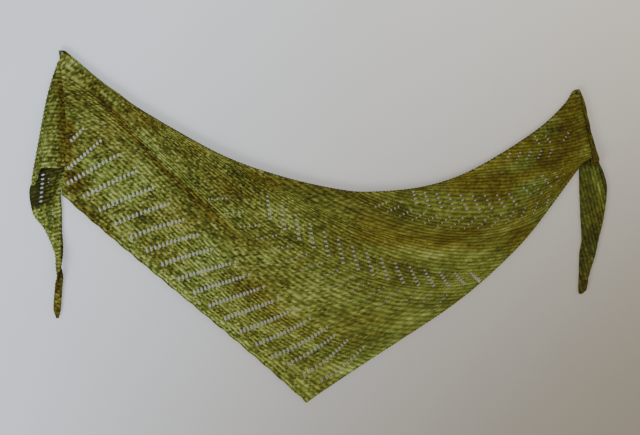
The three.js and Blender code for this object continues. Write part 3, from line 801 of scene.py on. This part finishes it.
def bind_off_edge(material):
    """The chain of the bind-off row along the lower left edge of the border."""
    share = np.linspace(FREE_END, 1 - FREE_END, EDGE_SAMPLES)
    x, z = row_point(share, np.zeros(EDGE_SAMPLES)).T
    z = z - edge_scallop((1 - share) * row_length(np.array(0.0)), 0)
    return edge_tube("bind_off_edge", x, z, BIND_OFF_RADIUS, STITCH, 0.1, 0.0, material)


def selvedge(name, side, rows, light, warm, material):
    """The slipped selvedge where rows start or end, between two rows, with a chain link for each
    ridge."""
    path, inset = (
        (LEFT_AND_TOP, SELVEDGE_INSET) if side == "start" else (LOWER_AND_RIGHT, -SELVEDGE_INSET))
    first, last = np.maximum(np.interp(rows, ROW_LINES["row"], ROW_LINES[side]), FREE_END)
    place = path_point(path, np.linspace(first, last, EDGE_SAMPLES))
    ahead = unit(np.gradient(place, axis=0))
    x, z = place[:, 0] + ahead[:, 1] * inset, place[:, 1] - ahead[:, 0] * inset
    return edge_tube(name, x, z, SELVEDGE_RADIUS, 2 * ROW, light, warm, material)


def left_turn_cloth(material):
    """The strip beside the left pin: out of the crease and forward over a bulge, round the left
    side and back along the wall, in level rows that arch a little over the bulge."""
    columns, rows = GRIDS["left_turn"]
    u, v = np.meshgrid(np.linspace(1, 0, columns), np.linspace(1, 0, rows))
    side = smoothstep(u, 0.8 * LEFT_ARC[0], LEFT_ARC[0])
    hem = lerp(STRIP_HEM, STRIP_SIDE_HEM, side)
    z = lerp(LEFT_TURN["z"][0], hem, v)
    radius = table_value(LEFT_TURN, "z", "turn", z)
    inner = table_value(LEFT_TURN, "z", "left", z) + CAD_CLOTH / 2 + radius
    x, depth, f = turned_back(
        u, LEFT_ARC, crease_x(z) + STRIP_LAP, crease_depth(z) - STRIP_BEHIND, inner, radius, -1,
        BACK_LAP - radius)
    depth = depth + table_value(LEFT_TURN, "z", "bulge", z) * np.sin(math.pi * f) ** 2
    run = run_lengths(x, depth, z)
    arch = 3.0 * np.sin(math.pi * f) * v
    row = -(z - arch) / (1.14 * ROW)
    # Painted shade: the strip is darker and browner in the crease, and darker towards the side
    # where it turns back
    valley = bell(x - crease_x(z), 9) * smoothstep(-z, 30, 70)
    front = u < LEFT_ARC[0]
    side_shade = smoothstep(u, 0.4, LEFT_ARC[0])
    light = 0.16 - 0.25 * valley - 0.15 * side_shade + 0.25 * bell(z + 200, 4)
    warm = -0.3 + 1.3 * valley + 0.1 * front
    piece = shell_on_grid("left_turn_cloth", x, depth, z, run / STITCH, row, light, warm, material)
    return piece


def right_turn_cloth(material):
    """The rounded fold at the right side, from the panel's edge round to the back layer."""
    columns, rows = GRIDS["right_turn"]
    u, v = np.meshgrid(np.linspace(0, 1, columns), np.linspace(1, 0, rows))
    z = lerp(RIGHT_TURN["z"][0], RIGHT_HEM, v)
    radius = table_value(RIGHT_TURN, "z", "turn", z)
    outer = table_value(RIGHT_TURN, "z", "side", z) - CAD_CLOTH / 2 - radius
    fold_x = table_value(RIGHT_FOLD, "z", "x", z)
    x, depth, _ = turned_back(
        u, RIGHT_ARC, fold_x - STRIP_LAP, panel_depth(fold_x, z) - STRIP_BEHIND, outer, radius, 1,
        RIGHT_LAP)
    run = run_lengths(x, depth, z)
    row = (run + 0.25 * z) / ROW
    # Painted shade: the whole fold is dark, as in the panel's shadow, and brown
    light = np.full(x.shape, -0.35)
    warm = np.full(x.shape, 1.2)
    piece = shell_on_grid("right_turn_cloth", x, depth, z, -z / STITCH, row, light, warm, material)
    return piece


def joined_tail(above, tail, left, right):
    """A tail's table with the rows of the turn above it, whose sides come from the turn."""
    rows = {
        "z": np.concatenate([above["z"], tail["z"]]),
        "left": np.concatenate([left, tail["left"]]),
        "right": np.concatenate([right, tail["right"]]),
    }
    for column in ("cup", "turn"):
        rows[column] = np.concatenate([np.zeros(len(above["z"])), tail[column]])
    return rows


def tail_points(rows, grid):
    """A hanging tail: at each height a shallow arc between its sides, turned about its middle."""
    u = np.linspace(0, 1, grid[0])
    u, z = np.meshgrid(u, np.linspace(rows["z"][-1], rows["z"][0], grid[1]))
    left = table_value(rows, "z", "left", z) + CAD_CLOTH / 4
    right = table_value(rows, "z", "right", z) - CAD_CLOTH / 4
    cup = table_value(rows, "z", "cup", z)
    turn = np.radians(table_value(rows, "z", "turn", z))
    half = (right - left) / 2
    aside = (2 * u - 1) * half
    out = cup * np.cos(math.pi * (u - 0.5)) - cup / 2
    x = (left + right) / 2 + aside * np.cos(turn) - out * np.sin(turn)
    y = aside * np.sin(turn) + out * np.cos(turn)
    depth = DEPTH["back"] + cup / 2 + half * np.abs(np.sin(turn)) + y
    return x, depth, z, aside + half


def left_tail_cloth(material):
    """The back layer and the bind-off corner below the left pin, with its column of eyelets."""
    sides = LEFT_TURN["left"] + CAD_CLOTH / 4 + BACK_LAP + 2 * SEAM
    rows = joined_tail(LEFT_TURN, LEFT_TAIL, sides, np.full(len(sides), LEFT_TAIL_RIGHT))
    x, depth, z, run = tail_points(rows, GRIDS["left_tail"])
    row = (-z + 0.28 * run) / ROW
    # Painted shade darkens the cloth inside the mouth below the turn, and the cloth shows its wrong
    # side at the foot
    mouth = -277 + 0.45 * (x + 43)
    side = -9 + 0.38 * (z + 243)
    inside = smoothstep(z, mouth - 3, mouth + 3) * (1 - smoothstep(x - side, -4, 3))
    reverse = smoothstep(-z, 380, 398)
    # A painted highlight runs down beside its right edge as a pale rib, a dark rim runs beside it,
    # and painted shade from the turn darkens its top
    from_right = x - table_value(rows, "z", "right", z)
    painted_edge_highlight = bell(from_right + 5.5, 2) * smoothstep(-z, 230, 300)
    rim = bell(from_right + 1, 1.8) * smoothstep(-z, 235, 290)
    shade = 0.3 * smoothstep(z, -222, -212)
    mouth_shade_strength = 0.6 + 0.35 * (1 - smoothstep(x, -34, -24))
    light = 0.05 - mouth_shade_strength * inside - shade - 0.25 * reverse
    light = light + (0.4 * painted_edge_highlight - 0.5 * rim) * (1 - reverse)
    warm = -0.3 + 0.7 * reverse + 0.2 * inside + 0.3 * rim
    piece = shell_on_grid(
        "left_tail_cloth", x, depth, z, run / STITCH, row, light, warm, material, TAIL_EYELETS)
    return piece


def right_tail_cloth(material):
    """The cast-on end below the right pin, whose steep rows run down to the right."""
    sides = RIGHT_TURN["side"] - CAD_CLOTH / 4 - RIGHT_TURN["turn"] - RIGHT_LAP - 2 * SEAM
    rows = joined_tail(RIGHT_TURN, RIGHT_TAIL, np.full(len(sides), RIGHT_TAIL_LEFT), sides)
    x, depth, z, _ = tail_points(rows, GRIDS["right_tail"])
    row = (x - RIGHT_TAIL_LEFT + 0.25 * z) / ROW
    streak = bell(x - lerp(958, 976, smoothstep(-z, 190, 290)), 9) * bell(z + 245, 60)
    # Painted shadow of the panel's lower corner darkens the top of the tail and turns it browner
    light = -0.42 + 0.5 * streak - 0.3 * smoothstep(z, -210, -196)
    warm = -0.05 + 0.2 * smoothstep(-z, 300, 420) + 0.5 * smoothstep(z, -204, -190)
    piece = shell_on_grid("right_tail_cloth", x, depth, z, -z / STITCH, row, light, warm, material)
    return piece


def dye(red, green, blue):
    """A colour named in 0 to 255 steps, as the linear values that a shader works in."""
    value = np.array([red, green, blue]) / 255
    return (*np.where(value < 0.04045, value / 12.92, ((value + 0.055) / 1.055) ** 2.4), 1.0)


class Nodes:
    """Adds and links the nodes of one tree."""

    def __init__(self, tree):
        self.tree = tree

    def add(self, kind, inputs=None, **settings):
        node = self.tree.nodes.new(kind)
        for key, value in settings.items():
            setattr(node, key, value)
        for key, value in (inputs or {}).items():
            self.feed(node, key, value)
        return node

    def feed(self, node, key, value):
        if isinstance(value, bpy.types.NodeSocket):
            self.tree.links.new(value, node.inputs[key])
        else:
            node.inputs[key].default_value = value

    def math(self, operation, a, b=0.0, c=0.0, clamp=False):
        node = self.add("ShaderNodeMath", {0: a, 1: b, 2: c}, operation=operation, use_clamp=clamp)
        return node.outputs[0]

    def scale(self, value, factor, offset=0.0):
        """A value times a factor, plus an offset."""
        return self.math("MULTIPLY_ADD", value, factor, offset)

    def spread(self, value, factor, middle=0.0):
        """How far a value lies from a half, times a factor, plus a middle."""
        return self.scale(self.math("SUBTRACT", value, 0.5), factor, middle)

    def mix(self, factor, a, b, blend="MIX"):
        node = self.add("ShaderNodeMix", data_type="RGBA", blend_type=blend)
        for key, value in zip((0, 6, 7), (factor, a, b)):
            self.feed(node, key, value)
        return node.outputs[2]

    def noise(self, place, scale, detail, roughness=0.5, dimensions="3D"):
        """Value of a noise texture, from 0 to 1, at a place."""
        values = {"W" if dimensions == "1D" else "Vector": place, "Scale": scale,
                  "Detail": detail, "Roughness": roughness}
        return self.add("ShaderNodeTexNoise", values, noise_dimensions=dimensions).outputs[0]

    def own_value(self, key, place, dimensions):
        """A random value of its own for each whole number or pair of them."""
        return self.add(
            "ShaderNodeTexWhiteNoise", {key: place}, noise_dimensions=dimensions).outputs["Value"]

    def join(self, x, y):
        return self.add("ShaderNodeCombineXYZ", {0: x, 1: y}).outputs[0]

    def split(self, vector):
        return self.add("ShaderNodeSeparateXYZ", {0: vector}).outputs

    def ramp(self, tone, stops):
        """Colour at a tone, between stops that each give a tone and a colour."""
        node = self.add("ShaderNodeValToRGB", {"Fac": tone})
        elements = node.color_ramp.elements
        while len(elements) < len(stops):
            elements.new(0.5)
        for element, (spot, *colour) in zip(elements, stops):
            element.position = spot
            element.color = dye(*colour)
        return node.outputs[0]

    def bump(self, shader, height, strength, distance):
        node = self.add(
            "ShaderNodeBump", {"Height": height, "Strength": strength, "Distance": distance})
        self.feed(shader, "Normal", node.outputs[0])


def new_group(name, inputs, outputs):
    """A node group with named inputs, each a float with a default, and outputs of given kinds."""
    tree = bpy.data.node_groups.new(name, "ShaderNodeTree")
    for label, default in inputs.items():
        socket = tree.interface.new_socket(label, in_out="INPUT", socket_type="NodeSocketFloat")
        socket.default_value = default
    for label, kind in outputs.items():
        tree.interface.new_socket(label, in_out="OUTPUT", socket_type=kind)
    nodes = Nodes(tree)
    entry = nodes.add("NodeGroupInput")
    leave = nodes.add("NodeGroupOutput")
    return tree, nodes, entry.outputs, leave


def garter_group():
    """Garter knitting as masks: how far up a ridge a point lies, the loops on it, its height."""
    tree, nodes, given, leave = new_group(
        "Garter stitch", {"Stitch": 0.0, "Row": 0.0},
        dict.fromkeys(("Ridge", "Loops", "Height"), "NodeSocketFloat"))
    ridge = nodes.scale(nodes.math("COSINE", nodes.scale(given["Row"], math.pi)), -0.5, 0.5)
    phase = nodes.math("FRACT", nodes.scale(given["Row"], 0.5))
    wave = nodes.math("COSINE", nodes.scale(given["Stitch"], 2 * math.pi))
    swap = nodes.scale(nodes.math("LESS_THAN", phase, 0.5), 2.0, -1.0)
    loop = nodes.scale(nodes.math("MULTIPLY", wave, swap), 0.5, 0.5)
    offset = nodes.math("ABSOLUTE", nodes.math("SUBTRACT", phase, 0.5))
    apart = nodes.math("ABSOLUTE", nodes.scale(offset, 6.0, -0.75))
    loops = nodes.math("MULTIPLY", loop, nodes.math("SUBTRACT", 1.0, apart, clamp=True))
    nodes.feed(leave, "Ridge", ridge)
    nodes.feed(leave, "Loops", loops)
    nodes.feed(leave, "Height", nodes.scale(loops, 0.6, nodes.scale(ridge, 0.4)))
    return tree


def dye_group():
    """Hand-dyed yarn: a tone that runs along each ridge in streaks of its own over broad pools,
    and a hue that turns from green to brown in broad streaks."""
    tree, nodes, given, leave = new_group(
        "Hand-dyed yarn",
        {"Stitch": 0.0, "Row": 0.0, "Light": 0.0, "Warm": 0.0, "Speckle": 1.0},
        {"Color": "NodeSocketColor"})
    stitch, row = given["Stitch"], given["Row"]
    own = nodes.own_value("W", nodes.math("FLOOR", nodes.scale(row, 0.5)), "1D")
    streak = nodes.noise(nodes.scale(stitch, 0.13, nodes.scale(own, 57.0)), 1.0, 4.0, 0.65, "1D")
    broad = nodes.join(nodes.scale(stitch, 0.045), nodes.scale(row, 0.09))
    pool = nodes.noise(broad, 1.0, 2.0, dimensions="2D")
    along = nodes.join(nodes.scale(stitch, 0.05, nodes.scale(own, 0.6)), nodes.scale(row, 0.05))
    hue = nodes.noise(along, 1.0, 2.0, dimensions="2D")
    cell = nodes.join(nodes.math("FLOOR", stitch), nodes.math("FLOOR", row))
    heather = nodes.spread(nodes.own_value("Vector", cell, "2D"), given["Speckle"])
    tone = nodes.math("ADD", nodes.spread(streak, 0.75), heather)
    tone = nodes.math("ADD", tone, nodes.spread(pool, 0.6, 0.5))
    # The given lightness carries the dye pools and streaks, and also the painted shade and
    # highlights of the cloth pieces
    tone = nodes.math("ADD", tone, nodes.scale(given["Light"], 0.75), clamp=True)
    warmth = nodes.math("ADD", nodes.spread(hue, 1.2, 0.42), given["Warm"], clamp=True)
    colour = nodes.mix(warmth, nodes.ramp(tone, GREENS), nodes.ramp(tone, BROWNS))
    nodes.feed(leave, "Color", colour)
    return tree


def new_material(name, **finish):
    """A node material: its nodes, its Principled shader with set values, and Object places."""
    material = bpy.data.materials.new(name)
    material.use_nodes = True
    material.node_tree.nodes.clear()
    nodes = Nodes(material.node_tree)
    shader = nodes.add("ShaderNodeBsdfPrincipled")
    for key, value in finish.items():
        shader.inputs[key.replace("_", " ")].default_value = value
    nodes.add("ShaderNodeOutputMaterial", {"Surface": shader.outputs[0]})
    return material, nodes, shader, nodes.add("ShaderNodeTexCoord").outputs["Object"]


def yarn_material():
    """Matt wool-like yarn: dye by stitch and row, painted shade between the ridges and loops, and
    soft fibre in the bump. The speckle of single stitches is weaker on the right."""
    material, nodes, shader, place = new_material(
        "Hand-dyed garter yarn", Sheen_Weight=0.12, Sheen_Tint=dye(190, 195, 110),
        Sheen_Roughness=0.6, Specular_IOR_Level=0.2)
    uv = nodes.split(nodes.add("ShaderNodeUVMap", uv_map="Knitting").outputs[0])
    colour = nodes.add("ShaderNodeGroup", node_tree=dye_group())
    knit = nodes.add("ShaderNodeGroup", node_tree=garter_group())
    for group in (colour, knit):
        nodes.feed(group, "Stitch", uv[0])
        nodes.feed(group, "Row", uv[1])
    for key in ("Light", "Warm"):
        value = nodes.add("ShaderNodeAttribute", attribute_name=key.lower())
        nodes.feed(colour, key, value.outputs["Fac"])
    speckle = nodes.add("ShaderNodeMapRange", {
        "Value": nodes.split(place)[0], "From Min": 0.3, "From Max": 0.62, "To Min": 0.75,
        "To Max": 0.3})
    nodes.feed(colour, "Speckle", speckle.outputs[0])
    fibre = nodes.noise(place, 900.0, 2.0, 0.6)
    # Painted shade darkens the colour in the gaps between the ridges and loops, down to GAP_SHADE,
    # and lightens the loops a little; the fibre noise varies it too
    raised = nodes.scale(knit.outputs["Loops"], 0.8, nodes.scale(knit.outputs["Ridge"], 0.3))
    shade = nodes.scale(raised, 1 - GAP_SHADE, GAP_SHADE)
    shade = nodes.math("MULTIPLY", shade, nodes.scale(fibre, 0.5, 0.75))
    painted_gap_shade = nodes.add("ShaderNodeCombineColor", {0: shade, 1: shade, 2: shade}).outputs[0]
    shaded = nodes.mix(1.0, colour.outputs["Color"], painted_gap_shade, "MULTIPLY")
    nodes.feed(shader, "Base Color", shaded)
    nodes.feed(shader, "Roughness", nodes.scale(fibre, 0.2, 0.72))
    nodes.bump(shader, nodes.scale(fibre, 0.35, knit.outputs["Height"]), 0.7, 0.0007)
    return material


def steel_material():
    """Brushed pin steel, dark on the right pin: fine scratches in its roughness and bump."""
    material, nodes, shader, place = new_material("Pin steel", Metallic=1.0)
    grain = nodes.noise(place, 2500.0, 3.0)
    steel = nodes.mix(nodes.noise(place, 260.0, 2.0), dye(150, 152, 156), dye(196, 197, 200))
    right = nodes.math("GREATER_THAN", nodes.split(place)[0], DARK_PIN_FROM)
    nodes.feed(shader, "Base Color", nodes.mix(right, steel, dye(58, 56, 48)))
    nodes.feed(shader, "Roughness", nodes.scale(grain, 0.25, 0.25))
    nodes.bump(shader, grain, 0.2, 0.0001)
    return material


def floor_paint():
    """Pale matt paint, mottled a little darker."""
    material, nodes, shader, place = new_material(
        "Studio floor paint", Roughness=0.95, Specular_IOR_Level=0.1)
    pale = dye(214, 213, 210)
    darker = tuple(0.93 * value for value in pale[:3]) + (1.0,)
    nodes.feed(shader, "Base Color", nodes.mix(nodes.noise(place, 3.0, 4.0), pale, darker))
    return material


def wall_paint_and_light():
    """Matt paint with a slight mottle, and painted light: it turns from cool to warm from left to
    right and darkens to the lower right in painted shade, glows a little with a painted glow that
    keeps the wall bright through the lace, and is clear from behind."""
    material, nodes, shader, place = new_material(
        "Studio wall paint and painted light", Roughness=0.95, Specular_IOR_Level=0.1, Emission_Strength=WALL_PAINTED_GLOW)
    across, _, up = nodes.split(place)
    # Painted shade grows to the right and downwards and levels off towards the lower right corner;
    # painted light turns the wall from cool on the left to warm on the right
    growth = nodes.scale(across, WALL_SHADE["corner"], WALL_SHADE["down"])
    slope = nodes.scale(across, WALL_SHADE["right"], nodes.scale(up, growth))
    slope = nodes.math("SMOOTH_MIN", slope, WALL_SHADE["most"], WALL_SHADE["soft"])
    aside = nodes.math("MULTIPLY", across, 0.9, clamp=True)
    lit = nodes.mix(aside, dye(225, 231, 240), dye(234, 226, 208))
    painted_light_tint = nodes.mix(slope, lit, dye(100, 88, 66))
    mottle = nodes.scale(nodes.noise(place, 3.0, 4.0), 0.3)
    nodes.feed(shader, "Base Color", nodes.mix(mottle, painted_light_tint, dye(150, 149, 148)))
    # The painted glow takes the colour of the painted light and shade
    nodes.feed(shader, "Emission Color", painted_light_tint)
    clear = nodes.add("ShaderNodeBsdfTransparent").outputs[0]
    behind = nodes.add("ShaderNodeNewGeometry").outputs["Backfacing"]
    mixed = nodes.add("ShaderNodeMixShader", {0: behind, 1: shader.outputs[0], 2: clear})
    output = next(n for n in material.node_tree.nodes if n.type == "OUTPUT_MATERIAL")
    nodes.feed(output, "Surface", mixed.outputs[0])
    return material


def stage_plane(name, corners, material):
    """A flat staged surface from its four corners, in metres, in order round its front."""
    mesh = bpy.data.meshes.new(name)
    mesh.from_pydata(corners, [], [(0, 1, 2, 3)])
    mesh.materials.append(material)
    plane = bpy.data.objects.new(name, mesh)
    bpy.context.scene.collection.objects.link(plane)
    return plane


def stage_room():
    """A pale wall behind the pins and a pale floor below."""
    left, right, front, back, floor, top = ROOM.values()
    wall = stage_plane(
        "studio_wall", [(left, WALL_BEHIND, floor), (right, WALL_BEHIND, floor),
                        (right, WALL_BEHIND, top), (left, WALL_BEHIND, top)], wall_paint_and_light())
    for ray in ("visible_diffuse", "visible_glossy", "visible_transmission", "visible_shadow"):
        setattr(wall, ray, False)
    stage_plane(
        "studio_floor", [(left, front, floor), (right, front, floor), (right, back, floor),
                         (left, back, floor)], floor_paint())


def area_light(name, place, target, size, power, colour):
    """A square soft light that looks at a target."""
    data = bpy.data.lights.new(name, "AREA")
    data.shape = "SQUARE"
    data.size = size
    data.energy = power
    data.color = colour
    lamp = bpy.data.objects.new(name, data)
    lamp.location = place
    way = np.array(place) - np.array(target)
    lamp.rotation_euler = (
        math.atan2(math.hypot(way[0], way[1]), way[2]), 0, math.atan2(way[0], -way[1]))
    bpy.context.scene.collection.objects.link(lamp)


def light_room():
    """Soft studio light: a wide cool light from the lower left, whose shadow lies above the top
    edge, a warm fill and a pale sky."""
    target = (0.46, 0, -0.3)
    area_light("key_light", (-0.7, -1.3, -1.6), target, 1.1, 34, (0.95, 0.97, 1.0))
    area_light("fill_light", (2.0, -2.2, -0.2), target, 1.8, 12, (1.0, 0.95, 0.88))
    world = bpy.data.worlds.new("studio_sky")
    world.use_nodes = True
    background = world.node_tree.nodes["Background"]
    background.inputs["Color"].default_value = (0.9, 0.93, 1.0, 1.0)
    background.inputs["Strength"].default_value = 0.42
    bpy.context.scene.world = world


def make_camera():
    """A camera square to the wall, whose frame is as wide at the panel as the photograph's."""
    centre_x = (PHOTO_MIDDLE[0] - ORIGIN_PIXEL[0]) * PIXEL * MM
    centre_z = -(PHOTO_MIDDLE[1] - ORIGIN_PIXEL[1]) * PIXEL * MM
    data = bpy.data.cameras.new("photo_camera")
    data.sensor_width = SENSOR_WIDTH
    data.lens = SENSOR_WIDTH * CAMERA_DISTANCE / (PHOTO_WIDTH * PIXEL * MM)
    camera = bpy.data.objects.new("photo_camera", data)
    camera.location = (centre_x, -CAMERA_DISTANCE - DEPTH["panel"] * MM, centre_z)
    camera.rotation_euler = (math.pi / 2, 0, 0)
    bpy.context.scene.collection.objects.link(camera)
    bpy.context.scene.camera = camera


EYELETS = eyelet_places()


def make_scarf():
    """The cloth pieces, each in the place of its CAD node, and the pins."""
    yarn = yarn_material()
    bind_off = bind_off_edge(yarn)
    lower_left, lower_right, right, top_left, top_right = (
        selvedge(*values, yarn) for values in SELVEDGES)
    pieces = [
        (bind_off, "border_lace"),
        (lower_left, "border_lace"),
        (lower_right, "body_lower"),
        (top_left, "body_lower"),
        (right, "body_upper"),
        (top_right, "body_upper"),
        (panel_cloth("border_cloth", 0, 39, yarn), "border_lace"),
        (panel_cloth("body_plain_cloth", 39, 63, yarn), "body_lower"),
        (panel_cloth("body_chevron_cloth", 63, 98, yarn), "body_lower"),
        (panel_cloth("upper_cloth", 98, 176, yarn), "body_upper"),
        (left_turn_cloth(yarn), "left_turn"),
        (right_turn_cloth(yarn), "right_turn"),
        (left_tail_cloth(yarn), "left_tail"),
        (right_tail_cloth(yarn), "right_tail"),
    ]
    for piece, node in pieces:
        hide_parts(node)
    steel = steel_material()
    for name in ("left_pin", "right_pin"):
        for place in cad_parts[name].material_slots:
            place.material = steel


make_scarf()
stage_room()
light_room()
make_camera()
